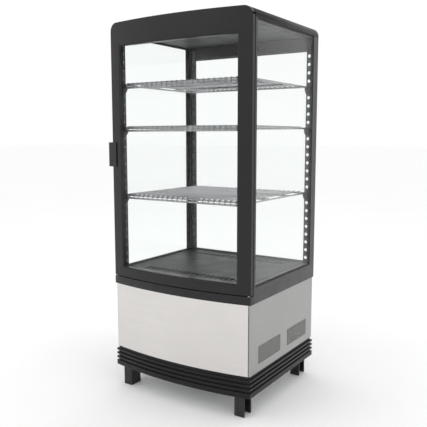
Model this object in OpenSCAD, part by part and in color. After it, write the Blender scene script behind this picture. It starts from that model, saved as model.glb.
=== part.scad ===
// Countertop glass door merchandiser: a refrigerated display cabinet with
// double glazing on four sides, a bowed full-height door, three wire shelves
// and a bottom-mounted refrigeration deck. Millimetres, +Z up, the door faces -Y.
// The origin is the centre of the footprint, on the surface the feet stand on.

/* [Cabinet] */
// Width of the cabinet across its side faces
cab_w = 428; // [420:1:440]
// Depth from the crown of the bowed front to the back
cab_d = 386; // [380:1:396]
// Height to the top of the roof
cab_h = 980; // [960:1:1000]
// How far the bowed front stands ahead of its own corners
bow = 22; // [18:1:26]
// Radius of the two rounded side edges of the roof
roof_r = 22; // [16:1:26]

/* [Levels] */
// Height of the feet
foot_h = 55; // [45:1:60]
// Top of the finned base trim
trim_top = 110; // [106:1:116]
// Top of the stainless panels
panel_top = 288; // [280:1:292]
// Top of the fixed bar under the door
bar_top = 309; // [305:1:313]
// Interior floor, where the side and rear glazing starts
floor_z = 328; // [326:1:334]
// Underside of the roof, where the glazing ends
ceiling_z = 955; // [950:1:960]

/* [Door] */
// Thickness of the door at its edges
door_edge = 11; // [10:0.5:12]
// Width of the door stiles
stile_w = 34; // [30:1:38]
// Height of the door's bottom rail
door_rail_bottom = 25; // [22:1:30]
// Bottom of the door's top rail
door_head_z = 921; // [915:1:925]
// Radius of the hinge pins
pin_r = 2.5; // [2:0.1:2.7]
// Height of the middle of the handle
handle_z = 640; // [560:1:720]
// Height of the handle
handle_h = 64; // [56:1:80]
// How far the handle stands out beyond the side face
handle_out = 10; // [8:0.5:14]

/* [Shelves] */
// Hole of the standards that carries the lower shelf, counted from the floor
hole_lower = 8; // [4:1:10]
// Hole that carries the middle shelf
hole_middle = 16; // [13:1:17]
// Hole that carries the upper shelf
hole_upper = 21; // [20:1:23]
// Spacing of the front-to-back shelf wires
wire_pitch = 16; // [14:1:20]
// Number of holes in a shelf standard
hole_count = 28; // [20:1:28]
// Spacing of the holes in a shelf standard
hole_pitch = 22.5; // [20:0.5:22.5]

/* [Hidden] */

$fn = 48;
bow_fn = 360;
cut = 1;

// The handle stands out on the left only, so the cabinet sits half of that
// to the right and the whole object stays centred on the origin.
cab_x = handle_out / 2;
half_w = cab_w / 2;
y_front = -cab_d / 2;
y_edge = y_front + bow;
y_back = cab_d / 2;
bow_r = (half_w * half_w + bow * bow) / (2 * bow);
bow_cy = y_front + bow_r;

// Glazing: two panes with a gap
pane_t = 3;
pane_gap = 5;
unit_t = 2 * pane_t + pane_gap;
lip_t = 2;
glass_grip = 1.5;
spacer_w = 5;
glass_x = half_w - lip_t;
glass_y = y_back - 1.5;
inner_x = glass_x - unit_t;
inner_y = glass_y - unit_t;

// Door and the frame face it closes on
door_back = y_edge + door_edge;
face_y = door_back + 3;
post_y = face_y + 7;
door_z = bar_top + 2;
door_glass_x = half_w - stile_w;
rebate = 8;
corner_r = 3;
hinge_x = half_w - 7;
hinge_y = y_edge + 4;
pin_gap = 0.05;
slot_z = ceiling_z + 5;
arm_t = 3;
arm_r = 3.5;

// Frame rails and the panels under them
rail_in = 190;
panel_in = 2;
sheet = 1.2;
trim_core = 5;
trim_wall = 4;
pan_in = trim_core + trim_wall;
pan_t = 2;
deck_z = foot_h + pan_t;
vent = [120, 46];
vent_rows = 12;
vent_pitch = 3.8;
vent_slot = 2;
vent_bar = 2;
vent_cols = 3;
vent_z = 152.5;
side_mid = (y_edge + y_back) / 2;
vent_off = 79;

// Shelf standards: the front strips face inwards and the rear strips face the door
std_w = 18;
std_rear_w = 14;
std_t = 2;
std_front = [inner_x - std_t, post_y + 9.5];
std_rear = [inner_x - std_rear_w / 2, inner_y - std_t];
hole_z = 344;
hole_r = 4.6;
shelf_x = 192;
wire_r = 1.5;
frame_r = 2.5;
side_r = 2.2;
drop_r = 1.4;
weld = 0.4;
peg_drop = 3.3;
clip_gap = 0.1;
frame_drop = 2 * wire_r + 2 * frame_r - weld;
shelf_z = [for (i = [hole_lower, hole_middle, hole_upper])
    hole_z + i * hole_pitch + peg_drop + frame_drop + clip_gap];

// Refrigeration deck
ins_x = 189;
ins_z = 208;
well_x = 163;
well_y = [-107, 142];
well_z = 233;
comp = [-96, 20];
comp_r = 58;
cond_x = 148;
cond_z = 130;
evap_y = 32;
evap_z = 278;
ctrl = [-150, 235];
ctrl_y = y_back - 15;
knob_x = ctrl[0] - 20;
switch_x = ctrl[0] + 22;
gland = [130, 140];

// ---------- helpers ----------

module cab() translate([cab_x, 0, 0]) children();

module box(lo, hi) translate(lo) cube(hi - lo);

module both_sides() {
    children();
    mirror([1, 0, 0]) children();
}

module at_side(side) {
    if (side > 0) children();
    else mirror([1, 0, 0]) children();
}

// Plan of the cabinet inside its bowed front, from the arc back to y_rear
module bow_plan(inset, half, y_rear) {
    intersection() {
        translate([0, bow_cy]) circle(r = bow_r - inset, $fn = bow_fn);
        translate([-half, y_front]) square([2 * half, y_rear - y_front]);
    }
}

// Curved sheet that follows the bowed front
module bow_sheet(inset, t, half, z0, z1) {
    translate([0, 0, z0]) linear_extrude(z1 - z0) difference() {
        bow_plan(inset, half, y_edge + 40);
        translate([0, bow_cy]) circle(r = bow_r - inset - t, $fn = bow_fn);
    }
}

// Roof outline seen from the front, from z0 up, with every side moved in by inset
module arch(inset, z0) {
    cx = half_w - roof_r;
    cz = cab_h - roof_r;
    intersection() {
        union() {
            translate([-half_w + inset, 0]) square([cab_w - 2 * inset, cz]);
            translate([-cx, 0]) square([2 * cx, cab_h - inset]);
            for (s = [-1, 1]) translate([s * cx, cz]) circle(r = roof_r - inset);
        }
        translate([-half_w, z0]) square([cab_w, cab_h - z0]);
    }
}

module arch_prism(inset, z0, y0, y1) {
    translate([0, y1, 0]) rotate([90, 0, 0]) linear_extrude(y1 - y0) arch(inset, z0);
}

// ---------- feet and base ----------

foot_in = [20, 6];
foot_size = [28, 37];
foot_wall = 5;

module at_feet() {
    x = half_w - foot_in[0] - foot_size[0];
    for (s = [-1, 1], y = [y_edge + foot_in[1], y_back - foot_in[1] - foot_size[1]])
        at_side(s) translate([x, y, 0]) children();
}

// Moulded channel, open outwards, with a top plate for its screw
module foot() {
    difference() {
        cube([foot_size[0], foot_size[1], foot_h]);
        translate([foot_wall, foot_wall, -cut])
            cube([foot_size[0], foot_size[1] - 2 * foot_wall, foot_h - foot_wall + cut]);
        translate([foot_size[0] / 2 + 2, foot_size[1] / 2, 0])
            cylinder(r = 3, h = foot_h + cut);
    }
}

module feet() color([0.13, 0.13, 0.14]) cab() at_feet() foot();

module foot_screws() color([0.7, 0.7, 0.72]) cab() at_feet()
    translate([foot_size[0] / 2 + 2, foot_size[1] / 2, 0]) {
        translate([0, 0, foot_h - foot_wall]) cylinder(r = 3, h = foot_wall + pan_t + 4);
        translate([0, 0, foot_h - foot_wall - 4]) cylinder(r = 6, h = 4);
    }

module base_pan() color([0.6, 0.61, 0.62]) cab() difference() {
    translate([0, 0, foot_h]) linear_extrude(18)
        bow_plan(pan_in, half_w - pan_in, y_back - pan_in);
    translate([0, 0, deck_z]) linear_extrude(18)
        bow_plan(pan_in + pan_t, half_w - pan_in - pan_t, y_back - pan_in - pan_t);
    for (y = [-110 : 20 : -50]) box([-60, y, foot_h - cut], [60, y + 8, deck_z + cut]);
    at_feet() translate([foot_size[0] / 2 + 2, foot_size[1] / 2, foot_h - cut])
        cylinder(r = 3, h = pan_t + 2 * cut);
}

skirt_h = 13;
fin_h = 5.6;
fin_z = [73.4, 84.7, 96];

// Plain wall with a skirt and three fins standing out of it
module trim_ring() {
    y_in = y_back - pan_in;
    difference() {
        union() {
            translate([0, 0, foot_h]) linear_extrude(skirt_h) bow_plan(0, half_w, y_back);
            translate([0, 0, foot_h]) linear_extrude(trim_top - foot_h)
                bow_plan(trim_core, half_w - trim_core, y_back - trim_core);
            for (z = fin_z) translate([0, 0, z]) linear_extrude(fin_h)
                bow_plan(0, half_w, y_back);
        }
        translate([0, 0, foot_h - cut]) linear_extrude(trim_top)
            bow_plan(pan_in, half_w - pan_in, y_in);
    }
}

module trim_part(lo, hi) color([0.08, 0.08, 0.085]) cab() intersection() {
    trim_ring();
    box([lo[0], lo[1], foot_h - cut], [hi[0], hi[1], trim_top + cut]);
}

trim_split = [y_edge + 14, y_back - 14];

module base_trim_front() trim_part([-half_w - cut, y_front - cut], [half_w + cut, trim_split[0]]);
module base_trim_rear() trim_part([-half_w - cut, trim_split[1]], [half_w + cut, y_back + cut]);
module base_trim_left() trim_part([-half_w - cut, trim_split[0]], [-100, trim_split[1]]);
module base_trim_right() trim_part([100, trim_split[0]], [half_w + cut, trim_split[1]]);

// ---------- stainless panels ----------

front_panel_x = half_w - 7;

module front_panel() color([0.82, 0.81, 0.79]) cab() {
    bow_sheet(panel_in, sheet, front_panel_x, trim_top, panel_top);
    bow_sheet(panel_in + sheet, 8, front_panel_x - 9, trim_top, trim_top + sheet);
}

// Rows of slots laid like bricks, from Y 0 to the length of the vent
module vent_slots() {
    step = (vent[0] + vent_bar) / vent_cols;
    for (i = [0 : vent_rows - 1]) {
        z = (i - (vent_rows - 1) / 2) * vent_pitch;
        shift = i % 2 == 0 ? 0 : -step / 2;
        for (k = [0 : vent_cols]) {
            y0 = max(0, shift + k * step);
            y1 = min(vent[0], shift + (k + 1) * step - vent_bar);
            if (y1 - y0 > vent_bar)
                box([-2 * sheet, y0, z - vent_slot / 2], [cut, y1, z + vent_slot / 2]);
        }
    }
}

// Side sheet folded round both corners, with a foot flange and two vents
module side_panel() {
    x = half_w - panel_in;
    y0 = y_edge + 3;
    y1 = y_back - panel_in;
    h = panel_top - trim_top;
    difference() {
        union() {
            translate([0, 0, trim_top]) linear_extrude(h) difference() {
                union() {
                    translate([x - 12, y0 + corner_r]) square([12, y1 - y0 - 2 * corner_r]);
                    translate([x - 12, y0]) square([12 - corner_r, y1 - y0]);
                    for (y = [y0 + corner_r, y1 - corner_r])
                        translate([x - corner_r, y]) circle(r = corner_r);
                }
                translate([x - 12 - cut, y0 + sheet + corner_r])
                    square([12 + cut - sheet, y1 - y0 - 2 * (sheet + corner_r)]);
                translate([x - 12 - cut, y0 + sheet])
                    square([12 + cut - sheet - corner_r, y1 - y0 - 2 * sheet]);
                for (y = [y0 + sheet + corner_r, y1 - sheet - corner_r])
                    translate([x - sheet - corner_r, y]) circle(r = corner_r);
            }
            box([x - 10, y0 + 10, trim_top], [x - sheet / 2, y1 - 10, trim_top + sheet]);
        }
        for (s = [-1, 1]) translate([x, side_mid + s * vent_off - vent[0] / 2, vent_z])
            vent_slots();
    }
}

module side_panel_left() color([0.76, 0.75, 0.74]) cab() at_side(-1) side_panel();
module side_panel_right() color([0.76, 0.75, 0.74]) cab() side_panel();

module rear_panel() color([0.7, 0.7, 0.7]) cab() difference() {
    y = y_back - panel_in - 2 * sheet;
    x = half_w - 8;
    box([-x, y, trim_top], [x, y + sheet, panel_top]);
    box([ctrl[0] - 42, y - cut, ctrl[1] - 22], [ctrl[0] + 42, y + 3, ctrl[1] + 22]);
    for (i = [0 : 7])
        box([-40, y - cut, trim_top + 30 + i * 15], [80, y + 3, trim_top + 36 + i * 15]);
    translate([gland[0], y - cut, gland[1]]) rotate([-90, 0, 0]) cylinder(r = 8, h = 4);
}

// ---------- black frame of the glass box ----------

frame_colour = [0.1, 0.1, 0.105];

module front_sill() color(frame_colour) cab() difference() {
    union() {
        translate([0, 0, panel_top]) linear_extrude(bar_top - panel_top)
            bow_plan(0, half_w, face_y);
        box([-rail_in, face_y, panel_top], [rail_in, face_y + 20, floor_z]);
    }
    translate([hinge_x, hinge_y, bar_top - 13]) cylinder(r = pin_r, h = 14);
}

module rail_left() color(frame_colour) cab()
    box([-half_w, face_y, panel_top], [-rail_in, y_back, floor_z]);
module rail_right() color(frame_colour) cab()
    box([rail_in, face_y, panel_top], [half_w, y_back, floor_z]);
module rail_rear() color(frame_colour) cab()
    box([-rail_in, y_back - 24, panel_top], [rail_in, y_back, floor_z]);

module post_front() {
    box([half_w - 18, face_y, floor_z], [half_w, post_y, ceiling_z]);
    box([half_w - lip_t, face_y, floor_z], [half_w, post_y + glass_grip, ceiling_z]);
}

module post_rear() {
    box([inner_x, inner_y + 1.5, floor_z], [half_w, y_back, ceiling_z]);
    box([half_w - lip_t, y_back - 29, floor_z], [half_w, y_back, ceiling_z]);
    box([half_w - 20, glass_y, floor_z], [half_w, y_back, ceiling_z]);
}

module post_front_left() color(frame_colour) cab() at_side(-1) post_front();
module post_front_right() color(frame_colour) cab() post_front();
module post_rear_left() color(frame_colour) cab() at_side(-1) post_rear();
module post_rear_right() color(frame_colour) cab() post_rear();

header_x = half_w - 18;

module front_header() color(frame_colour) cab()
    box([-header_x, face_y, ceiling_z - 25], [header_x, post_y, ceiling_z]);

module rear_top_rail() color(frame_colour) cab() {
    box([-inner_x, inner_y, door_head_z + 3], [inner_x, glass_y, ceiling_z]);
    box([-half_w + 20, inner_y, door_head_z + 3], [half_w - 20, y_back, ceiling_z]);
}

module roof_cap() color(frame_colour) cab() difference() {
    arch_prism(0, ceiling_z, face_y, y_back);
    arch_prism(3, ceiling_z - cut, face_y + 3, y_back - 3);
}

module roof_insulation() color([0.86, 0.8, 0.6]) cab()
    box([-190, face_y + 8, ceiling_z + 2], [190, y_back - 8, cab_h - 5]);

module ceiling_liner() color([0.3, 0.3, 0.31]) cab()
    box([-half_w + 3, face_y + 3, ceiling_z], [half_w - 3, y_back - 3, ceiling_z + 2]);

// ---------- glazing ----------

glass_colour = [0.75, 0.85, 0.85, 0.3];

module side_panes() {
    for (x = [inner_x, glass_x - pane_t])
        box([x, post_y, floor_z], [x + pane_t, inner_y + 1.5, ceiling_z]);
}

module glass_left() color(glass_colour) cab() at_side(-1) side_panes();
module glass_right() color(glass_colour) cab() side_panes();
module glass_rear() color(glass_colour) cab()
    for (y = [inner_y, glass_y - pane_t])
        box([-inner_x, y, floor_z], [inner_x, y + pane_t, door_head_z + 3]);

module ring_yz(x, y0, y1, z0, z1) difference() {
    box([x, y0, z0], [x + pane_gap, y1, z1]);
    box([x - cut, y0 + spacer_w, z0 + spacer_w],
        [x + pane_gap + cut, y1 - spacer_w, z1 - spacer_w]);
}

module glazing_spacers() color([0.2, 0.2, 0.2]) cab() {
    both_sides() ring_yz(inner_x + pane_t, post_y, inner_y + 1.5, floor_z, ceiling_z);
    translate([0, inner_y + pane_t, 0]) difference() {
        box([-inner_x, 0, floor_z], [inner_x, pane_gap, door_head_z + 3]);
        box([-inner_x + spacer_w, -cut, floor_z + spacer_w],
            [inner_x - spacer_w, pane_gap + cut, door_head_z + 3 - spacer_w]);
    }
}

// ---------- shelves ----------

// Perforated strip of width w standing at the origin, with its face towards -X
module strip(w) difference() {
    box([0, -w / 2, floor_z], [std_t, w / 2, ceiling_z]);
    for (i = [0 : hole_count - 1]) translate([-cut, 0, hole_z + i * hole_pitch])
        rotate([0, 90, 0]) cylinder(r = hole_r, h = std_t + 2 * cut, $fn = 24);
}

module at_strips() {
    translate(std_front) children(0);
    translate(std_rear) rotate([0, 0, 90]) children(1);
}

module standards() at_strips() {
    strip(std_w);
    strip(std_rear_w);
}

module standards_left() color([0.25, 0.25, 0.26]) cab() at_side(-1) standards();
module standards_right() color([0.25, 0.25, 0.26]) cab() standards();

// Triangular bracket with a peg that sits in a hole of the strip
module clip() {
    translate([0, 7, 0]) rotate([90, 0, 0]) linear_extrude(14)
        polygon([[0, 5], [-3, 5], [-3, 0], [-11, 0], [-11, -4], [-3, -16], [0, -16]]);
    translate([-1, 0, -peg_drop]) rotate([0, 90, 0]) cylinder(r = 4, h = 1 + std_t);
}

module shelf_clips() color([0.1, 0.1, 0.1]) cab()
    for (z = shelf_z, s = [-1, 1]) at_side(s) translate([0, 0, z - frame_drop - clip_gap]) at_strips() {
        clip();
        clip();
    }

module wire_x(half, y, z, r) translate([-half, y, z]) rotate([0, 90, 0])
    cylinder(r = r, h = 2 * half);
module wire_y(x, y0, y1, z, r) translate([x, y1, z]) rotate([90, 0, 0])
    cylinder(r = r, h = y1 - y0);

shelf_y = [face_y + 6, inner_y - 6.5];
lip_drop = 11;

// Front-to-back wires on cross wires; at the front they bend down to a second
// cross wire. z is the height of the top of the wires.
module shelf(z) color([0.8, 0.8, 0.82]) cab() translate([0, 0, z - wire_r]) {
    n = floor((shelf_x - 6) / wire_pitch);
    zc = -wire_r - frame_r + weld;
    y_lip = shelf_y[0] + drop_r + frame_r - weld;
    for (i = [-n : n]) {
        x = i * wire_pitch;
        wire_y(x, shelf_y[0] - 1.1, shelf_y[1], 0, wire_r);
        translate([x, shelf_y[0], -lip_drop - wire_r])
            cylinder(r = drop_r, h = lip_drop + wire_r + 1);
    }
    wire_x(shelf_x + 1, y_lip, zc, frame_r);
    wire_x(shelf_x - 7, y_lip, -lip_drop, frame_r);
    for (y = [-40, 70, shelf_y[1] - 6]) wire_x(shelf_x + 1, y, zc, frame_r);
    for (s = [-1, 1]) {
        wire_y(s * shelf_x, y_lip - 1, shelf_y[1], zc - frame_r + side_r, side_r);
        translate([s * (shelf_x - 8), y_lip, -lip_drop - 1])
            cylinder(r = side_r, h = lip_drop + zc + 2);
    }
}

module shelf_lower() shelf(shelf_z[0]);
module shelf_middle() shelf(shelf_z[1]);
module shelf_upper() shelf(shelf_z[2]);

// ---------- insulated floor and evaporator ----------

module floor_grille() color([0.14, 0.14, 0.145]) cab() difference() {
    box([-ins_x, face_y + 20, floor_z - 5], [ins_x, y_back - 24, floor_z]);
    for (x = [-150 : 15 : 145], y = [-120, 122])
        box([x, y, floor_z - 6], [x + 6, y + 24, floor_z + cut]);
}

module floor_insulation() color([0.86, 0.8, 0.6]) cab() difference() {
    box([-ins_x, face_y + 20, ins_z], [ins_x, y_back - 24, floor_z - 5]);
    box([-well_x, well_y[0], well_z], [well_x, well_y[1], floor_z]);
}

module evaporator_well() color([0.75, 0.75, 0.76]) cab() difference() {
    box([-well_x, well_y[0], well_z], [well_x, well_y[1], floor_z - 5]);
    box([-well_x + 2, well_y[0] + 2, well_z + 2], [well_x - 2, well_y[1] - 2, floor_z]);
}

// Finned coil: plates on tubes that run along X
module coil(half, depth, height, rows, pitch) {
    for (x = [-half : pitch : half]) translate([x, 0, 0]) cube([0.8, depth, height]);
    for (i = [0 : rows - 1], y = [depth * 0.27, depth * 0.73])
        translate([-half - 6, y, (i + 0.5) * height / rows]) rotate([0, 90, 0])
            cylinder(r = 3.5, h = 2 * half + 12, $fn = 24);
    for (s = [-1, 1]) translate([s * (half + 4) - 2, 2, 2]) cube([4, depth - 4, height - 4]);
}

module evaporator_coil() color([0.72, 0.6, 0.5]) cab()
    translate([0, -60, well_z + 2]) coil(128, 44, 62, 3, 8);

// Axial fan on the X axis: hub with a bore and pitched blades
module fan(r_hub, r_tip, width, bore, blades) {
    difference() {
        union() {
            rotate([0, 90, 0]) cylinder(r = r_hub, h = width);
            intersection() {
                rotate([0, 90, 0]) cylinder(r = r_tip, h = width);
                for (i = [0 : blades - 1]) rotate([i * 360 / blades, 0, 0])
                    translate([width / 2, 0, r_hub - 2]) rotate([0, 0, 40])
                        translate([-width, -0.9, 0]) cube([2 * width, 1.8, r_tip]);
            }
        }
        translate([-cut, 0, 0]) rotate([0, 90, 0]) cylinder(r = bore, h = width - 3 + cut);
    }
}

shaft_r = 2;

// Motor with its shaft, on three arms from a round opening; air flows along X
module motor_mount(r_open, gap) {
    translate([-gap - 26, 0, 0]) rotate([0, 90, 0]) cylinder(r = 15, h = 18);
    translate([-gap - 9, 0, 0]) rotate([0, 90, 0]) cylinder(r = shaft_r, h = 15);
    for (a = [30, 150, 270]) rotate([a, 0, 0]) {
        translate([-gap - 22, -3, 13]) cube([4, 6, r_open - 9]);
        translate([-gap - 22, -3, r_open]) cube([gap + 23, 6, 4]);
    }
}

module evaporator_shroud() color([0.2, 0.2, 0.2]) cab()
    translate([0, evap_y, evap_z]) rotate([0, 0, 90]) {
        difference() {
            box([0, -150, 235 - evap_z], [3, 150, floor_z - 6 - evap_z]);
            translate([-cut, 0, 0]) rotate([0, 90, 0]) cylinder(r = 40, h = 5);
        }
        motor_mount(40, 16);
    }

module evaporator_fan() color([0.15, 0.15, 0.15]) cab()
    translate([0, evap_y - 22, evap_z]) rotate([0, 0, 90])
        fan(13, 36, 16, shaft_r + pin_gap, 5);

// ---------- refrigeration deck ----------

module compressor() color([0.06, 0.06, 0.065]) cab() translate([comp[0], comp[1], deck_z]) {
    intersection() {
        translate([0, 0, 18]) cylinder(r = comp_r, h = 118);
        translate([0, 0, 77]) sphere(r = 72);
    }
    difference() {
        box([-75, -55, 12], [75, 55, 15]);
        for (s = [-1, 1], t = [-1, 1]) translate([s * 64, t * 44, 0]) cylinder(r = 4, h = 20);
    }
    box([-30, -30, 14], [30, 30, 30]);
    for (s = [-1, 1], t = [-1, 1]) translate([s * 64, t * 44, 0]) {
        cylinder(r = 4, h = 17);
        cylinder(r = 9, h = 12);
    }
    translate([40, -10, 60]) cube([32, 26, 40]);
}

module condenser_coil() color([0.55, 0.56, 0.57]) cab()
    translate([cond_x + 44, 0, deck_z + 8]) rotate([0, 0, 90]) coil(86, 38, 132, 5, 7);

module condenser_shroud() color([0.3, 0.3, 0.31]) cab() translate([cond_x, 0, cond_z]) {
    difference() {
        box([0, -95, deck_z - cond_z], [2, 95, 76]);
        translate([-cut, 0, 0]) rotate([0, 90, 0]) cylinder(r = 62, h = 5);
    }
    motor_mount(62, 22);
}

module condenser_fan() color([0.15, 0.15, 0.15]) cab()
    translate([cond_x - 28, 0, cond_z]) fan(16, 57, 22, shaft_r + pin_gap, 6);

// ---------- light ----------

module light_housing() color([0.85, 0.85, 0.85]) cab()
    box([-170, post_y, ceiling_z - 12], [170, post_y + 20, ceiling_z]);
module light_lens() color([0.95, 0.95, 0.92]) cab()
    box([-168, post_y + 2, ceiling_z - 15], [168, post_y + 18, ceiling_z - 12]);

// ---------- controls on the back ----------

// Recessed box with a hole for the knob's shaft and a slot for the rocker
module control_box() color([0.12, 0.12, 0.12]) cab() translate([ctrl[0], 0, ctrl[1]]) difference() {
    box([-44, ctrl_y - 3, -24], [44, y_back - 4.4, 24]);
    box([-41, ctrl_y, -21], [41, y_back, 21]);
    translate([knob_x - ctrl[0], ctrl_y - 4, 0]) rotate([-90, 0, 0])
        cylinder(r = 3 + pin_gap, h = 6);
    box([switch_x - ctrl[0] - 6, ctrl_y - 4, -10], [switch_x - ctrl[0] + 6, ctrl_y + 1, 10]);
}

module thermostat_knob() color([0.2, 0.2, 0.2]) cab() translate([knob_x, ctrl_y, ctrl[1]])
    rotate([-90, 0, 0]) {
        translate([0, 0, -8]) cylinder(r = 3, h = 9);
        difference() {
            translate([0, 0, 0.5]) cylinder(r = 15, h = 10);
            for (a = [0 : 30 : 330]) rotate([0, 0, a]) translate([15.6, 0, 3])
                cylinder(r = 1.6, h = 9, $fn = 24);
        }
    }

// Rocker with its paddle tipped either way about a pin across the slot
module light_switch() color([0.5, 0.08, 0.06]) cab() translate([switch_x, ctrl_y - 2, ctrl[1]]) {
    rotate([8, 0, 0]) box([-5.5, -2, -8.5], [5.5, 4, 8.5]);
    translate([-5.5, 0, 0]) rotate([0, 90, 0]) cylinder(r = 3.5, h = 11);
}

// Bush where the mains lead enters
module power_gland() color([0.1, 0.1, 0.1]) cab()
    translate([gland[0], y_back - panel_in - 2 * sheet, gland[1]]) rotate([-90, 0, 0]) difference() {
        union() {
            translate([0, 0, -10]) cylinder(r = 8, h = 12);
            translate([0, 0, sheet]) cylinder(r = 11, h = 3);
            translate([0, 0, -6]) cylinder(r = 11, h = 6);
        }
        translate([0, 0, -11]) cylinder(r = 4.5, h = 17);
    }

// ---------- hinges ----------

module hinge_arm_top() color([0.45, 0.45, 0.46]) cab() translate([hinge_x, hinge_y, slot_z + 1]) {
    intersection() {
        union() {
            cylinder(r = arm_r, h = arm_t);
            rotate([0, 0, 120]) translate([0, -arm_r, 0]) cube([20, 2 * arm_r, arm_t]);
        }
        box([-20, -20, 0], [20, face_y - hinge_y, arm_t]);
    }
    translate([-16, face_y - hinge_y - 1.5, -3]) cube([12, 1.5, 12]);
    translate([0, 0, -11]) cylinder(r = pin_r, h = 12);
}

module hinge_pin_bottom() color([0.7, 0.7, 0.72]) cab() translate([hinge_x, hinge_y, bar_top]) {
    translate([0, 0, -13]) cylinder(r = pin_r, h = 26);
    cylinder(r = 4, h = 1.6);
}

// ---------- door ----------

// Full door block: bowed front, flat back with rounded back edges, arched top
module door_block(z0, z1) intersection() {
    translate([0, 0, z0]) linear_extrude(z1 - z0) intersection() {
        translate([0, bow_cy]) circle(r = bow_r, $fn = bow_fn);
        union() {
            translate([-half_w - cut, y_front])
                square([cab_w + 2 * cut, door_back - corner_r - y_front]);
            translate([-half_w + corner_r, y_front])
                square([cab_w - 2 * corner_r, door_back - y_front]);
            for (s = [-1, 1]) translate([s * (half_w - corner_r), door_back - corner_r])
                circle(r = corner_r);
        }
    }
    arch_prism(0, z0, y_front - cut, door_back + cut);
}

door_pane_x = door_glass_x + rebate;
door_pane_z = [door_z + door_rail_bottom - rebate, door_head_z + rebate];

module pane_outer() bow_sheet(3, 4, door_pane_x, door_pane_z[0], door_pane_z[1]);
module pane_inner()
    box([-door_pane_x, door_back - 4, door_pane_z[0]], [door_pane_x, door_back - 1, door_pane_z[1]]);

module door_top_rail() color(frame_colour) cab() difference() {
    door_block(door_head_z, cab_h);
    pane_outer();
    pane_inner();
    translate([hinge_x, hinge_y, slot_z - 12]) cylinder(r = pin_r + pin_gap, h = 14);
    box([hinge_x - 11, hinge_y - arm_r - 0.1, slot_z], [half_w + cut, door_back + cut, slot_z + 5]);
}

module door_bottom_rail() color(frame_colour) cab() difference() {
    door_block(door_z, door_z + door_rail_bottom);
    pane_outer();
    pane_inner();
    translate([hinge_x, hinge_y, door_z - cut]) cylinder(r = pin_r + pin_gap, h = 14);
}

module door_stile() difference() {
    intersection() {
        door_block(door_z + door_rail_bottom, door_head_z);
        box([door_glass_x, y_front, 0], [half_w + cut, y_back, cab_h]);
    }
    pane_outer();
    pane_inner();
}

module door_stile_left() color(frame_colour) cab() at_side(-1) door_stile();
module door_stile_right() color(frame_colour) cab() door_stile();

module door_glass_outer() color(glass_colour) cab() pane_outer();
module door_glass_inner() color(glass_colour) cab() pane_inner();

gasket_x = half_w - 8;
gasket_z = [floor_z - 11, ceiling_z - 9];

module door_gasket() color([0.16, 0.16, 0.16]) cab() difference() {
    box([-gasket_x, door_back, gasket_z[0]], [gasket_x, face_y, gasket_z[1]]);
    box([-gasket_x + 8, door_back - cut, gasket_z[0] + 8],
        [gasket_x - 8, face_y + cut, gasket_z[1] - 8]);
}

// Front plate that wraps the free edge, with a finger lip standing outwards
module door_handle() color([0.09, 0.09, 0.09]) cab() difference() {
    x0 = -half_w - handle_out;
    z0 = handle_z - handle_h / 2;
    z1 = handle_z + handle_h / 2;
    union() {
        box([x0 + 3, y_edge - 6, z0], [-half_w + 17, y_edge, z1]);
        box([x0, y_edge - 3, z0], [-half_w, y_edge + 8, z1]);
        translate([x0 + 3, y_edge - 3, z0]) cylinder(r = 3, h = handle_h);
    }
    door_block(z0 - cut, z1 + cut);
    box([x0 - cut, y_edge, z0 + 4], [-half_w - 2, y_edge + 9, z1 - 4]);
}

// ---------- drawing ----------

feet();
foot_screws();
base_pan();
base_trim_front();
base_trim_left();
base_trim_right();
base_trim_rear();
front_panel();
side_panel_left();
side_panel_right();
rear_panel();
front_sill();
rail_left();
rail_right();
rail_rear();
post_front_left();
post_front_right();
post_rear_left();
post_rear_right();
front_header();
rear_top_rail();
roof_cap();
roof_insulation();
ceiling_liner();
glass_left();
glass_right();
glass_rear();
glazing_spacers();
standards_left();
standards_right();
shelf_clips();
shelf_lower();
shelf_middle();
shelf_upper();
floor_grille();
floor_insulation();
evaporator_well();
evaporator_coil();
evaporator_shroud();
evaporator_fan();
compressor();
condenser_coil();
condenser_shroud();
condenser_fan();
light_housing();
light_lens();
control_box();
thermostat_knob();
light_switch();
power_gland();
hinge_arm_top();
hinge_pin_bottom();
door_top_rail();
door_bottom_rail();
door_stile_left();
door_stile_right();
door_glass_outer();
door_glass_inner();
door_gasket();
door_handle();
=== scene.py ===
import math

import bmesh
import bpy
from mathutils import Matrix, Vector


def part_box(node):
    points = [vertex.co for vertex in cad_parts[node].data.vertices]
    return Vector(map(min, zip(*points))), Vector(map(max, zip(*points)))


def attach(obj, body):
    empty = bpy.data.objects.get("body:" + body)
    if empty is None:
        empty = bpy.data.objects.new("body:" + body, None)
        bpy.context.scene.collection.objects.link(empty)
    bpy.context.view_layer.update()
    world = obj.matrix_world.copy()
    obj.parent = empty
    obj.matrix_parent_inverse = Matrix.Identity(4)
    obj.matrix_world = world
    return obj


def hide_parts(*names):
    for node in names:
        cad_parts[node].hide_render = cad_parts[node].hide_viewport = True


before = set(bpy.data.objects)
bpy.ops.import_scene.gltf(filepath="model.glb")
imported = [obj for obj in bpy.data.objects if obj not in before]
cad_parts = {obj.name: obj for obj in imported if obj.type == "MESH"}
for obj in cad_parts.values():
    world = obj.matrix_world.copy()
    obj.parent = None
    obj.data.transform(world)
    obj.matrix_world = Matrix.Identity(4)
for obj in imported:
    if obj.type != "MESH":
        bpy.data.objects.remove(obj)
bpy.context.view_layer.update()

# ---------------------------------------------------------------- sizes

MM = 0.001
OUTER_LO, OUTER_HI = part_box("base_trim_front")
CX = (OUTER_LO.x + OUTER_HI.x) / 2
HALF_W = (OUTER_HI.x - OUTER_LO.x) / 2
Y_FRONT = OUTER_LO.y
BOW = 22 * MM
BOW_R = (HALF_W ** 2 + BOW ** 2) / (2 * BOW)
ROOF_R = 22 * MM


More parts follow.
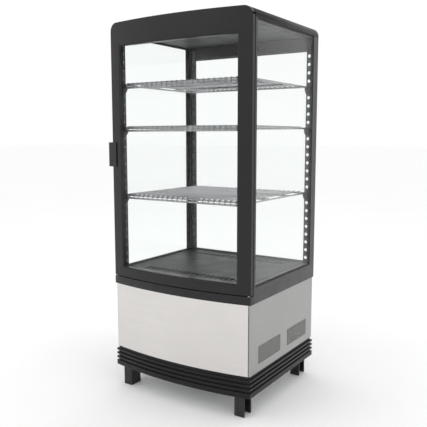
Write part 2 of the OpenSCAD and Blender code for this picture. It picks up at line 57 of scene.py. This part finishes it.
def bow_y(x, inset=0.0):
    """Y of the bowed front at row X, moved back by inset."""
    return Y_FRONT + BOW_R - math.sqrt((BOW_R - inset) ** 2 - (x - CX) ** 2)


# ---------------------------------------------------------------- camera and stage

scene = bpy.context.scene
scene.view_settings.view_transform = "Standard"
scene.cycles.transparent_max_bounces = 48

TARGET = Vector((0.0018, 0.0, 0.4762))
CAM_AZ, CAM_EL, CAM_DIST = math.radians(33.19), math.radians(7.30), 1.656


def aim(obj, location, target):
    obj.location = location
    obj.rotation_euler = (Vector(target) - Vector(location)).to_track_quat("-Z", "Y").to_euler()


def direction(az, el):
    return Vector((math.cos(el) * math.sin(az), -math.cos(el) * math.cos(az), math.sin(el)))


camera_data = bpy.data.cameras.new("camera")
camera_data.sensor_width = 36
camera_data.lens = 50.46
camera = bpy.data.objects.new("camera", camera_data)
scene.collection.objects.link(camera)
aim(camera, TARGET + CAM_DIST * direction(CAM_AZ, CAM_EL), TARGET)
scene.camera = camera


def area_light(name, location, target, size, power, colour=(1, 1, 1)):
    data = bpy.data.lights.new(name, "AREA")
    data.shape = "RECTANGLE"
    data.size, data.size_y = size
    data.energy = power
    data.color = colour
    obj = bpy.data.objects.new(name, data)
    scene.collection.objects.link(obj)
    aim(obj, location, target)
    return obj


area_light("key_softbox", (-1.6, -2.6, 2.6), (0, 0, 0.5), (2.2, 1.6), 10)
area_light("top_softbox", (0.2, 0.4, 3.0), (0, 0, 0.4), (2.4, 2.4), 8)

world = bpy.data.worlds.new("studio")
world.use_nodes = True
scene.world = world
background = world.node_tree.nodes["Background"]
background.inputs["Color"].default_value = (1.0, 1.0, 1.0, 1)
background.inputs["Strength"].default_value = 1.0

# ---------------------------------------------------------------- material helpers


class Look:
    """One procedural material: a Principled shader and the nodes that drive it."""

    def __init__(self, name, metallic=0.0, **sockets):
        self.material = bpy.data.materials.new(name)
        self.material.use_nodes = True
        self.tree = self.material.node_tree
        self.shader = self.tree.nodes["Principled BSDF"]
        self.shader.inputs["Metallic"].default_value = metallic
        for socket, value in sockets.items():
            self.shader.inputs[socket.replace("_", " ")].default_value = value
        self.bump_node = None

    def node(self, kind, **settings):
        made = self.tree.nodes.new(kind)
        for key, value in settings.items():
            setattr(made, key, value)
        return made

    def link(self, output, target):
        self.tree.links.new(output, target)

    def place(self, stretch=(1, 1, 1)):
        coordinates = self.node("ShaderNodeTexCoord").outputs["Object"]
        if tuple(stretch) == (1, 1, 1):
            return coordinates
        mapping = self.node("ShaderNodeMapping")
        mapping.inputs["Scale"].default_value = stretch
        self.link(coordinates, mapping.inputs["Vector"])
        return mapping.outputs["Vector"]

    def noise(self, scale, detail=4.0, rough=0.5, stretch=(1, 1, 1)):
        made = self.node("ShaderNodeTexNoise")
        made.inputs["Scale"].default_value = scale
        made.inputs["Detail"].default_value = detail
        made.inputs["Roughness"].default_value = rough
        self.link(self.place(stretch), made.inputs["Vector"])
        return made.outputs["Fac"]

    def cells(self, scale, feature="F1", output="Distance", stretch=(1, 1, 1)):
        made = self.node("ShaderNodeTexVoronoi", feature=feature)
        made.inputs["Scale"].default_value = scale
        self.link(self.place(stretch), made.inputs["Vector"])
        return made.outputs[output]

    def remap(self, value, lo, hi, start=0.35, end=0.65):
        made = self.node("ShaderNodeMapRange")
        made.inputs["From Min"].default_value = start
        made.inputs["From Max"].default_value = end
        made.inputs["To Min"].default_value = lo
        made.inputs["To Max"].default_value = hi
        self.link(value, made.inputs["Value"])
        return made.outputs["Result"]

    def ramp(self, value, *stops):
        made = self.node("ShaderNodeValToRGB")
        points = made.color_ramp.elements
        while len(points) < len(stops):
            points.new(0.5)
        for point, (position, colour) in zip(points, stops):
            point.position = position
            point.color = (*colour, 1)
        self.link(value, made.inputs["Fac"])
        return made.outputs["Color"]

    def mix(self, amount, a, b, blend="MIX"):
        made = self.node("ShaderNodeMix", data_type="RGBA", blend_type=blend)
        for socket, value in ((0, amount), (6, a), (7, b)):
            if isinstance(value, bpy.types.NodeSocket):
                self.link(value, made.inputs[socket])
            elif socket:
                made.inputs[socket].default_value = (*value, 1)
            else:
                made.inputs[socket].default_value = value
        return made.outputs[2]

    def combine(self, a, b, operation="MULTIPLY"):
        made = self.node("ShaderNodeMath", operation=operation, use_clamp=True)
        for socket, value in ((0, a), (1, b)):
            if isinstance(value, bpy.types.NodeSocket):
                self.link(value, made.inputs[socket])
            else:
                made.inputs[socket].default_value = value
        return made.outputs[0]

    def colour(self, socket):
        self.link(socket, self.shader.inputs["Base Color"])

    def roughness(self, socket):
        self.link(socket, self.shader.inputs["Roughness"])

    def bump(self, height, distance, strength=1.0):
        made = self.node("ShaderNodeBump")
        made.inputs["Distance"].default_value = distance
        made.inputs["Strength"].default_value = strength
        self.link(height, made.inputs["Height"])
        if self.bump_node:
            self.link(self.bump_node.outputs["Normal"], made.inputs["Normal"])
        self.bump_node = made
        self.link(made.outputs["Normal"], self.shader.inputs["Normal"])

    def facing_up(self):
        split = self.node("ShaderNodeSeparateXYZ")
        self.link(self.node("ShaderNodeNewGeometry").outputs["Normal"], split.inputs[0])
        return split.outputs["Z"]

    def edges(self, start=0.53, end=0.62):
        pointiness = self.node("ShaderNodeNewGeometry").outputs["Pointiness"]
        return self.remap(pointiness, 0, 1, start, end)


def moulded(name, dark, light, rough, grain, grain_depth, dust=0.08, wear=0.35, gloss=0.5):
    """Moulded or extruded plastic: even colour with faint clouding, grain, dust on top and worn edges."""
    look = Look(name, Specular_IOR_Level=gloss)
    clouds = look.noise(7, 6, 0.6)
    base = look.ramp(clouds, (0.3, dark), (0.7, light))
    worn = tuple(min(1, 3.2 * c + 0.03) for c in light)
    scuffs = look.combine(look.edges(), look.remap(look.noise(160, 5), 0, wear, 0.45, 0.6))
    base = look.mix(scuffs, base, worn)
    settled = look.remap(look.noise(45, 8, 0.7), 0, dust, 0.4, 0.75)
    lying = look.combine(look.facing_up(), settled)
    look.colour(look.mix(lying, base, (0.32, 0.31, 0.29)))
    look.roughness(look.remap(look.noise(24, 7, 0.65), rough[0], rough[1]))
    look.bump(look.noise(14, 2), 0.00012)
    look.bump(look.noise(grain, 3, 0.6), grain_depth)
    return look.material


def brushed(name, dark, light, rough, stretch, streak=0.00002):
    """Brushed sheet metal: streaks along the sheet, faint clouding and finger marks."""
    look = Look(name, metallic=1.0)
    lines = look.noise(1, 6, 0.75, stretch)
    clouds = look.noise(5, 5, 0.6)
    base = look.ramp(lines, (0.25, dark), (0.75, light))
    look.colour(look.mix(look.remap(clouds, 0.0, 0.16), base, tuple(0.86 * c for c in dark)))
    marks = look.remap(look.noise(38, 4, 0.7), 0, 0.07, 0.55, 0.72)
    look.roughness(look.combine(look.remap(lines, rough[0], rough[1]), marks, "ADD"))
    look.bump(lines, streak)
    look.bump(look.noise(6, 2), 0.00025, 0.5)
    return look.material


def spangled(name):
    """Galvanised sheet with its crystal pattern."""
    look = Look(name, metallic=0.85)
    split = look.node("ShaderNodeSeparateColor")
    look.link(look.cells(130, output="Color"), split.inputs[0])
    crystal = split.outputs[0]
    base = look.ramp(crystal, (0.0, (0.40, 0.41, 0.43)), (1.0, (0.60, 0.61, 0.62)))
    stains = look.remap(look.noise(11, 7, 0.65), 0, 0.35, 0.5, 0.75)
    look.colour(look.mix(stains, base, (0.33, 0.33, 0.32)))
    look.roughness(look.remap(crystal, 0.34, 0.52, 0, 1))
    look.bump(look.noise(420, 4), 0.00004)
    return look.material


def bright_wire(name, base, rough):
    """Plated wire: mirror-like with faint ripples, dulled here and there."""
    look = Look(name, metallic=1.0)
    tone = look.noise(55, 6, 0.7)
    look.colour(look.ramp(tone, (0.35, tuple(0.82 * c for c in base)), (0.62, base)))
    look.roughness(look.remap(look.noise(130, 5, 0.7), rough[0], rough[1]))
    look.bump(look.noise(600, 3), 0.00003)
    return look.material


def clear_glass(name, tint):
    """Float glass: clear straight through, with the gloss of its two surfaces and faint smears."""
    look = Look(name)
    nodes = look.tree.nodes
    nodes.remove(look.shader)
    output = nodes["Material Output"]
    through = look.node("ShaderNodeBsdfTransparent")
    through.inputs["Color"].default_value = (*tint, 1)
    gloss = look.node("ShaderNodeBsdfGlossy")
    gloss.inputs["Color"].default_value = (1, 1, 1, 1)
    look.link(look.remap(look.noise(9, 6, 0.7), 0.01, 0.09, 0.45, 0.75), gloss.inputs["Roughness"])
    tilt = look.node("ShaderNodeLayerWeight")
    tilt.inputs["Blend"].default_value = 0.5
    mixed = look.node("ShaderNodeMixShader")
    grazing = look.combine(tilt.outputs["Facing"], 5, "POWER")
    look.link(look.remap(grazing, 0.004, 0.6, 0, 1), mixed.inputs[0])
    look.link(through.outputs[0], mixed.inputs[1])
    look.link(gloss.outputs[0], mixed.inputs[2])
    look.link(mixed.outputs[0], output.inputs["Surface"])
    return look.material


def rubber(name):
    look = Look(name, Specular_IOR_Level=0.35)
    bloom = look.noise(60, 7, 0.7)
    look.colour(look.ramp(bloom, (0.35, (0.016, 0.016, 0.017)), (0.72, (0.04, 0.04, 0.042))))
    look.roughness(look.remap(bloom, 0.55, 0.8))
    look.bump(look.noise(1600, 3), 0.00003)
    return look.material


def foam(name):
    look = Look(name, Roughness=0.95)
    bubbles = look.cells(900)
    tone = look.noise(14, 6, 0.6)
    base = look.ramp(tone, (0.3, (0.62, 0.50, 0.26)), (0.7, (0.78, 0.68, 0.42)))
    # The cell pits are darker brown: painted shade in the pits that the same cells dent below.
    look.colour(look.mix(look.remap(bubbles, 0.35, 0.0, 0.0, 0.5), base, (0.40, 0.30, 0.14)))
    look.bump(bubbles, 0.0004)
    return look.material


def finned(name, base, dark):
    """Thin pressed fins: bright edges with dust between them."""
    look = Look(name, metallic=0.9)
    dusty = look.noise(70, 7, 0.7)
    look.colour(look.mix(look.remap(dusty, 0.0, 0.7, 0.42, 0.7), base, dark))
    look.roughness(look.remap(dusty, 0.28, 0.6))
    look.bump(look.noise(1, 2, 0.5, (40, 900, 40)), 0.0001)
    return look.material


def enamel(name, dark, light, rough):
    """Sprayed enamel with orange peel."""
    look = Look(name, Coat_Weight=0.4, Coat_Roughness=0.12)
    look.colour(look.ramp(look.noise(20, 6, 0.6), (0.3, dark), (0.7, light)))
    look.roughness(look.remap(look.noise(60, 5), rough[0], rough[1]))
    look.bump(look.noise(650, 2, 0.4), 0.00006)
    return look.material


def lens(name):
    """Ribbed opal diffuser."""
    look = Look(name, Transmission_Weight=0.25, Roughness=0.35)
    tone = look.noise(40, 5)
    look.colour(look.ramp(tone, (0.35, (0.84, 0.84, 0.80)), (0.65, (0.92, 0.92, 0.90))))
    ribs = look.node("ShaderNodeTexWave", bands_direction="Y")
    ribs.inputs["Scale"].default_value = 160
    look.link(look.place(), ribs.inputs["Vector"])
    look.bump(ribs.outputs["Fac"], 0.0003)
    return look.material


# ---------------------------------------------------------------- materials

def grey(dark, light):
    """Two nearly neutral tones, each a touch blue."""
    return (dark, dark, 1.03 * dark), (light, light, 1.03 * light)


BLACK = grey(0.0055, 0.0085)
M_FRAME = moulded("black_frame", *BLACK, (0.26, 0.38), 2200, 0.018 * MM, gloss=0.36)
# The posts and rails are the frame's black plastic with a lighter base colour: painted light standing in
# for the light on the cabinet's sides.
M_POST_PAINTED_LIGHT = moulded("black_posts_painted_light", *grey(0.016, 0.023), (0.28, 0.4), 2200, 0.018 * MM, gloss=0.48)
M_ROOF = moulded("black_roof", *BLACK, (0.4, 0.5), 2200, 0.02 * MM, 0.04, gloss=0.2)
# The base trims are the same black plastic made darker still: painted shade for the gaps between their
# fins.
M_TRIM_PAINTED_SHADE = moulded("black_trim_painted_shade", *grey(0.0035, 0.006), (0.28, 0.4), 1500, 0.02 * MM, 0.05, gloss=0.26)
M_FEET = moulded("black_feet", *grey(0.006, 0.011), (0.42, 0.58), 900, 0.06 * MM, 0.3, 0.6, 0.42)
M_HANDLE = moulded("black_handle", *BLACK, (0.3, 0.42), 1200, 0.04 * MM, 0.2, 0.5)
M_LINER = moulded("floor_liner", *grey(0.008, 0.013), (0.4, 0.55), 1100, 0.04 * MM, gloss=0.3)
M_CEILING = moulded("ceiling_liner", *grey(0.009, 0.014), (0.45, 0.6), 1100, 0.04 * MM, 0, gloss=0.35)
M_WELL = moulded("pale_liner", *grey(0.42, 0.52), (0.4, 0.5), 1100, 0.04 * MM, 0.1, 0.1)
M_FAN = moulded("fan_plastic", *grey(0.014, 0.024), (0.4, 0.52), 800, 0.05 * MM, 0.6)
M_KNOB = moulded("knob_plastic", *grey(0.014, 0.022), (0.3, 0.4), 1400, 0.04 * MM, 0.1, 0.6)
RED = (0.20, 0.012, 0.010), (0.27, 0.018, 0.014)
M_ROCKER = moulded("rocker_plastic", *RED, (0.14, 0.24), 900, 0.01 * MM, 0)
M_LIGHT = moulded("light_body", *grey(0.60, 0.70), (0.35, 0.45), 1000, 0.03 * MM, 0.1, 0.1)
M_STANDARD = moulded("painted_strip", *grey(0.02, 0.032), (0.3, 0.42), 700, 0.04 * MM, 0.1, 0.5)
M_PAINTED = moulded("painted_steel", *grey(0.05, 0.07), (0.35, 0.5), 700, 0.05 * MM, 0.4, 0.6)
STREAKS = (9, 9, 1500)
WARM_STEEL = (0.62, 0.60, 0.585), (0.745, 0.725, 0.71)
M_STEEL = brushed("brushed_stainless", *WARM_STEEL, (0.26, 0.40), STREAKS)
# The side panels are the front's stainless with a darker base colour: painted shade for the sides that
# face away from the light.
STEEL_PAINTED_SHADE = (0.335, 0.335, 0.328), (0.43, 0.43, 0.423)
M_STEEL_PAINTED_SHADE = brushed("brushed_stainless_painted_shade", *STEEL_PAINTED_SHADE, (0.30, 0.44), STREAKS)
M_ZINC = brushed("zinc_plate", *grey(0.50, 0.66), (0.25, 0.4), (500, 500, 60))
M_SPACER = brushed("dark_spacer", (0.10, 0.10, 0.105), (0.16, 0.16, 0.165), (0.35, 0.5), (900, 60, 60))
M_GALVANISED = spangled("galvanised_sheet")
M_WIRE = bright_wire("chrome_wire", (0.42, 0.42, 0.43), (0.1, 0.26))
M_GLASS = clear_glass("clear_glass", (0.993, 0.997, 0.996))
M_RUBBER = rubber("black_rubber")
M_FOAM = foam("foamed_insulation")
M_COIL_HOT = finned("condenser_fins", (0.46, 0.47, 0.48), (0.07, 0.065, 0.06))
M_COIL_COLD = finned("evaporator_fins", (0.62, 0.63, 0.64), (0.34, 0.34, 0.34))
M_COMPRESSOR = enamel("compressor_enamel", (0.010, 0.010, 0.010), (0.018, 0.018, 0.019), (0.2, 0.34))
M_LENS = lens("opal_lens")

NODE_LOOKS = {
    M_FRAME: "front_sill front_header door_top_rail door_bottom_rail door_stile_left door_stile_right",
    M_POST_PAINTED_LIGHT: """rail_left rail_right rail_rear rear_top_rail post_front_left post_front_right
        post_rear_left post_rear_right""",
    M_ROOF: "roof_cap",
    M_TRIM_PAINTED_SHADE: "base_trim_front base_trim_left base_trim_right base_trim_rear",
    M_FEET: "feet",
    M_HANDLE: "door_handle shelf_clips control_box power_gland",
    M_LINER: "floor_grille",
    M_CEILING: "ceiling_liner",
    M_WELL: "evaporator_well",
    M_FAN: "evaporator_shroud evaporator_fan condenser_fan",
    M_KNOB: "thermostat_knob",
    M_ROCKER: "light_switch",
    M_LIGHT: "light_housing",
    M_LENS: "light_lens",
    M_STANDARD: "standards_left standards_right",
    M_PAINTED: "condenser_shroud hinge_arm_top",
    M_STEEL: "front_panel",
    M_STEEL_PAINTED_SHADE: "side_panel_left side_panel_right",
    M_ZINC: "foot_screws hinge_pin_bottom",
    M_SPACER: "glazing_spacers",
    M_GALVANISED: "base_pan rear_panel",
    M_WIRE: "shelf_lower shelf_middle shelf_upper",
    M_GLASS: "glass_left glass_right glass_rear door_glass_outer door_glass_inner",
    M_RUBBER: "door_gasket",
    M_FOAM: "roof_insulation floor_insulation",
    M_COIL_HOT: "condenser_coil",
    M_COIL_COLD: "evaporator_coil",
    M_COMPRESSOR: "compressor",
}
for look, names in NODE_LOOKS.items():
    for name in names.split():
        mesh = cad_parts[name].data
        mesh.materials.clear()
        mesh.materials.append(look)


# ---------------------------------------------------------------- softened edges on CAD nodes


def soften(names, width, segments=2, angle=32):
    """Rounds the sharp edges of CAD nodes with modifiers, which leave their meshes alone."""
    for name in names.split():
        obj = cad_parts[name]
        weld = obj.modifiers.new("weld", "WELD")
        weld.merge_threshold = 0.00001
        bevel = obj.modifiers.new("soft_edges", "BEVEL")
        bevel.width = width
        bevel.segments = segments
        bevel.limit_method = "ANGLE"
        bevel.angle_limit = math.radians(angle)
        bevel.use_clamp_overlap = True
        bevel.harden_normals = True


soften("""front_sill rail_left rail_right rail_rear post_front_left post_front_right post_rear_left
    post_rear_right front_header rear_top_rail roof_cap""", 0.5 * MM)
soften("base_trim_front base_trim_left base_trim_right base_trim_rear", 0.7 * MM)
soften("feet", 1.2 * MM)
soften("door_handle", 1.0 * MM)
soften("light_housing light_lens", 1.0 * MM)
soften("thermostat_knob light_switch power_gland", 0.4 * MM)
soften("shelf_clips", 0.6 * MM)


# ---------------------------------------------------------------- mesh helpers


def add_piece(name, verts, faces, look, body, slot, smooth=35, standing_for=()):
    """Makes an object that rides on a body, in place of the nodes in standing_for."""
    mesh = bpy.data.meshes.new(name)
    mesh.from_pydata([tuple(v) for v in verts], [], faces)
    mesh.update()
    work = bmesh.new()
    work.from_mesh(mesh)
    bmesh.ops.recalc_face_normals(work, faces=work.faces)
    work.to_mesh(mesh)
    work.free()
    mesh.shade_smooth()
    mesh.set_sharp_from_angle(angle=math.radians(smooth))
    mesh.materials.append(look)
    obj = bpy.data.objects.new(name, mesh)
    scene.collection.objects.link(obj)
    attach(obj, body)
    if standing_for:
        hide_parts(*standing_for)
    return obj


def slab(front, back, quads):
    """Closed solid from matching front and back points, with walls along the open edges."""
    count = len(front)
    faces = [list(q) for q in quads] + [[i + count for i in reversed(q)] for q in quads]
    sides = {(q[i], q[(i + 1) % len(q)]) for q in quads for i in range(len(q))}
    faces += [[b, a, a + count, b + count] for a, b in sides if (b, a) not in sides]
    return list(front) + list(back), faces


def bevelled(verts, faces, width, segments, angle=35):
    """Rounds every edge sharper than angle, and gives back vertices and faces."""
    work = bmesh.new()
    made = [work.verts.new(v) for v in verts]
    for f in faces:
        work.faces.new([made[i] for i in f])
    bmesh.ops.recalc_face_normals(work, faces=work.faces)
    sharp = [e for e in work.edges if e.is_manifold and e.calc_face_angle() > math.radians(angle)]
    bmesh.ops.bevel(work, geom=sharp, offset=width, segments=segments, profile=0.5,
                    affect="EDGES", clamp_overlap=True)
    work.verts.index_update()
    out = [v.co.copy() for v in work.verts], [[v.index for v in f.verts] for f in work.faces]
    work.free()
    return out


def rectangle_path(half_a, half_b, steps=1):
    """Points round a rectangle with the outward direction at each, mitred at the corners."""
    corners = [(1, -1), (1, 1), (-1, 1), (-1, -1)]
    path = []
    for (a0, b0), (a1, b1) in zip(corners, corners[1:] + corners[:1]):
        side = ((a0 + a1) / 2, (b0 + b1) / 2)
        for i in range(steps):
            t = i / steps
            point = (half_a * (a0 + t * (a1 - a0)), half_b * (b0 + t * (b1 - b0)))
            path.append((point, (a0, b0) if i == 0 else side))
    return path


def ring(profile, path, place):
    """Sweeps a closed profile of (outward, depth) points round a path; place gives a point's position."""
    verts, faces = [], []
    for (a, b), (ma, mb) in path:
        verts += [place(a + ma * u, b + mb * u, v) for u, v in profile]
    count, turns = len(profile), len(path)
    for i in range(turns):
        for j in range(count):
            k, n = (j + 1) % count, (i + 1) % turns
            faces.append([i * count + j, i * count + k, n * count + k, n * count + j])
    return verts, faces


# ---------------------------------------------------------------- door frame

RAIL_LO, RAIL_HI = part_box("door_top_rail")
SILL_LO, SILL_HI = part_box("door_bottom_rail")
STILE_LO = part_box("door_stile_right")[0]
OPEN_X = STILE_LO.x - CX
OPEN_Z = SILL_HI.z, RAIL_LO.z


RIM_R = 2.2 * MM


def door_frame():
    """One moulded frame: bowed in front, arched on top, with a rounded rim."""
    arc_x = HALF_W - ROOF_R
    half = [i * OPEN_X / 12 for i in range(12)] + [OPEN_X, arc_x]
    half += [arc_x + ROOF_R * math.sin(math.radians(a)) for a in (12, 25, 38, 50, 62, 74, 90)]
    columns = [-x for x in reversed(half[1:])] + half

    def top(x):
        over = max(0.0, abs(x) - arc_x)
        return RAIL_HI.z - ROOF_R + math.sqrt(max(0.0, ROOF_R ** 2 - over ** 2))

    rows = 7
    front, back, quads = [], [], []
    for x in columns:
        levels = [SILL_LO.z, (SILL_LO.z + SILL_HI.z) / 2, SILL_HI.z,
                  (SILL_HI.z + RAIL_LO.z) / 2, RAIL_LO.z, (RAIL_LO.z + top(x)) / 2, top(x)]
        front += [(CX + x, bow_y(CX + x), z) for z in levels]
        back += [(CX + x, RAIL_HI.y, z) for z in levels]
    for i in range(len(columns) - 1):
        middle = abs(columns[i] + columns[i + 1]) / 2
        for j in range(rows - 1):
            if middle < OPEN_X and 2 <= j <= 3:
                continue
            a = i * rows + j
            quads.append([a, a + rows, a + rows + 1, a + 1])
    return bevelled(*slab(front, back, quads), RIM_R, 4)


def cutter_box(lo, hi):
    """Mesh of a box, for cut()."""
    mesh = bpy.data.meshes.new("cutter")
    corners = [(x, y, z) for x in (lo[0], hi[0]) for y in (lo[1], hi[1]) for z in (lo[2], hi[2])]
    faces = [(0, 1, 3, 2), (4, 6, 7, 5), (0, 4, 5, 1), (2, 3, 7, 6), (0, 2, 6, 4), (1, 5, 7, 3)]
    mesh.from_pydata(corners, [], faces)
    return mesh


def cutter_pin(x, y, z0, z1, radius, sides=32):
    """Mesh of an upright cylinder, for cut()."""
    turn = [2 * math.pi * i / sides for i in range(sides)]
    circle = [(x + radius * math.cos(a), y + radius * math.sin(a)) for a in turn]
    mesh = bpy.data.meshes.new("cutter")
    faces = [list(range(sides))[::-1], list(range(sides, 2 * sides))]
    faces += [[i, (i + 1) % sides, sides + (i + 1) % sides, sides + i] for i in range(sides)]
    mesh.from_pydata([(*p, z0) for p in circle] + [(*p, z1) for p in circle], [], faces)
    return mesh


def cut(obj, meshes):
    """Takes each cutter mesh out of obj, and keeps the result as its mesh."""
    for mesh in meshes:
        tool = bpy.data.objects.new("cutter", mesh)
        scene.collection.objects.link(tool)
        boolean = obj.modifiers.new("cut", "BOOLEAN")
        boolean.operation = "DIFFERENCE"
        boolean.solver = "EXACT"
        boolean.object = tool
        bpy.context.view_layer.update()
        result = bpy.data.meshes.new_from_object(obj.evaluated_get(bpy.context.evaluated_depsgraph_get()))
        obj.modifiers.clear()
        obj.data = result
        bpy.data.objects.remove(tool)
    obj.data.set_sharp_from_angle(angle=math.radians(35))


door = add_piece("door_frame", *door_frame(), M_FRAME, "door", "frame_plastic", 40,
                 ("door_top_rail", "door_bottom_rail", "door_stile_left", "door_stile_right"))
PIN_LO, PIN_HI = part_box("hinge_pin_bottom")
PIN_X, PIN_Y = (PIN_LO.x + PIN_HI.x) / 2, (PIN_LO.y + PIN_HI.y) / 2
SLOT_LO = Vector((PIN_X - 11 * MM, PIN_Y - 3.6 * MM, 960 * MM))
SLOT_H = 5 * MM
PIN_BORE = 2.6 * MM
TOP_BORE, BOTTOM_BORE = 12 * MM, 13 * MM
OVER = 1 * MM
cut(door, [
    cutter_box(SLOT_LO, (HALF_W + CX + OVER, RAIL_HI.y + OVER, SLOT_LO.z + SLOT_H)),
    cutter_pin(PIN_X, PIN_Y, SLOT_LO.z - TOP_BORE, SLOT_LO.z + OVER, PIN_BORE),
    cutter_pin(PIN_X, PIN_Y, SILL_LO.z - OVER, SILL_LO.z + BOTTOM_BORE, PIN_BORE),
])
door.modifiers.new("even_shading", "WEIGHTED_NORMAL").keep_sharp = True

# ---------------------------------------------------------------- seals and beads

def scaled(profile):
    """Profile points from millimetres to metres."""
    return [(u * MM, v * MM) for u, v in profile]


GASKET_LO, GASKET_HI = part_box("door_gasket")
GASKET = [(0.3, 0), (7.7, 0), (7.7, 0.5), (6.5, 0.9), (7.8, 1.3), (7.9, 2.2), (7.4, 2.8), (6.8, 3.0),
          (1.2, 3.0), (0.6, 2.8), (0.1, 2.2), (0.2, 1.3), (1.5, 0.9), (0.3, 0.5)]


def gasket_place(a, b, v):
    return (CX + a, GASKET_LO.y + v, (GASKET_LO.z + GASKET_HI.z) / 2 + b)


gasket_half = ((GASKET_HI.x - GASKET_LO.x) / 2 - 8 * MM, (GASKET_HI.z - GASKET_LO.z) / 2 - 8 * MM)
add_piece("door_seal", *ring(scaled(GASKET), rectangle_path(*gasket_half), gasket_place),
          M_RUBBER, "door", "gasket_rubber", 50, ("door_gasket",))

BEAD = [(0.0, 0.6), (0.0, -1.6), (-0.5, -1.9), (-1.3, -1.7),
        (-2.0, -1.1), (-2.4, -0.4), (-2.5, 0.2), (-2.5, 0.6)]


def front_bead_place(a, b, v):
    x = CX + a
    return (x, bow_y(x, 3 * MM) + v, (OPEN_Z[0] + OPEN_Z[1]) / 2 + b)


add_piece("door_bead", *ring(scaled(BEAD),
          rectangle_path(OPEN_X, (OPEN_Z[1] - OPEN_Z[0]) / 2, 24), front_bead_place),
          M_RUBBER, "door", "gasket_rubber", 50)

POST_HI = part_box("post_front_right")[1]
BACK_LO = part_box("post_rear_right")[0]
GLASS_LO, GLASS_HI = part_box("glass_right")
SIDE_MID = ((POST_HI.y + BACK_LO.y) / 2, (GLASS_LO.z + GLASS_HI.z) / 2)
SIDE_HALF = ((BACK_LO.y - POST_HI.y) / 2, (GLASS_HI.z - GLASS_LO.z) / 2)
SIDE_BEAD = [(0.0, -0.4), (0.0, 1.5), (-0.2, 1.7), (-0.6, 1.5), (-0.9, 0.9), (-1.1, 0.2), (-1.1, -0.4)]


def side_bead(name, sign):
    """Sealant round the outer pane of one side."""
    def place(a, b, v):
        x = CX + sign * (GLASS_HI.x - CX + v)
        return (x, SIDE_MID[0] + a, SIDE_MID[1] + b)

    add_piece(name, *ring(scaled(SIDE_BEAD), rectangle_path(*SIDE_HALF), place),
              M_RUBBER, "cabinet", "gasket_rubber", 50)


side_bead("side_bead_right", 1)
side_bead("side_bead_left", -1)

REAR_LO, REAR_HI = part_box("glass_rear")
REAR_LIP = 20 * MM
REAR_DEPTH = 0.7


def rear_place(a, b, v):
    return (CX + a, REAR_HI.y + v * REAR_DEPTH, (REAR_LO.z + REAR_HI.z) / 2 + b)


add_piece("rear_bead", *ring(scaled(SIDE_BEAD),
          rectangle_path(HALF_W - REAR_LIP, (REAR_HI.z - REAR_LO.z) / 2), rear_place),
          M_RUBBER, "cabinet", "gasket_rubber", 50)

# ---------------------------------------------------------------- screws

PANEL_LO, PANEL_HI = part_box("rear_panel")


def screws(name, places, radius=3.4 * MM, height=1.7 * MM):
    """Pan heads with a cross recess, standing on the rear panel."""
    verts, faces = [], []
    sides = 32
    cross = [0.56 if i % 8 == 0 else 0.5 if i % 8 in (1, 7) else 0.17 for i in range(sides)]
    rings = [([1.0] * sides, 0.0), ([1.0] * sides, 0.35), ([0.9] * sides, 0.72), ([0.72] * sides, 0.93),
             (cross, 0.98), (cross, 0.3)]
    for x, z in places:
        start = len(verts)
        for radii, level in rings:
            for i, r in enumerate(radii):
                a = 2 * math.pi * i / sides
                dx, dz = radius * r * math.cos(a), radius * r * math.sin(a)
                verts.append((x + dx, PANEL_HI.y + height * level, z + dz))
        for k in range(len(rings) - 1):
            for i in range(sides):
                n = (i + 1) % sides
                a = start + k * sides
                faces.append([a + i, a + n, a + sides + n, a + sides + i])
        faces.append([start + i for i in range(sides)][::-1])
        faces.append([start + (len(rings) - 1) * sides + i for i in range(sides)])
    add_piece(name, verts, faces, M_ZINC, "cabinet", "zinc_steel", 30)


EDGE_X, EDGE_Z = 7 * MM, 9 * MM
panel_x = (PANEL_HI.x - PANEL_LO.x) / 2 - EDGE_X
panel_z = PANEL_LO.z + EDGE_Z, PANEL_HI.z - EDGE_Z
screw_places = [(CX + s * panel_x, z) for s in (-1, 1) for z in (*panel_z, sum(panel_z) / 2)]
screw_places += [(CX + x * MM, z) for x in (-70, 70) for z in panel_z]
screws("rear_screws", screw_places)

# ---------------------------------------------------------------- floor

floor_mesh = bpy.data.meshes.new("floor")
floor_mesh.from_pydata([(-40, -40, 0), (40, -40, 0), (40, 40, 0), (-40, 40, 0)], [], [(0, 1, 2, 3)])
floor = bpy.data.objects.new("floor", floor_mesh)
scene.collection.objects.link(floor)
floor_look = Look("pale_floor", Roughness=0.7, Specular_IOR_Level=0.2)
PALE = (0.965, 0.965, 0.965), (0.985, 0.985, 0.985)
floor_look.colour(floor_look.ramp(floor_look.noise(3, 5), (0.3, PALE[0]), (0.7, PALE[1])))
floor_mesh.materials.append(floor_look.material)
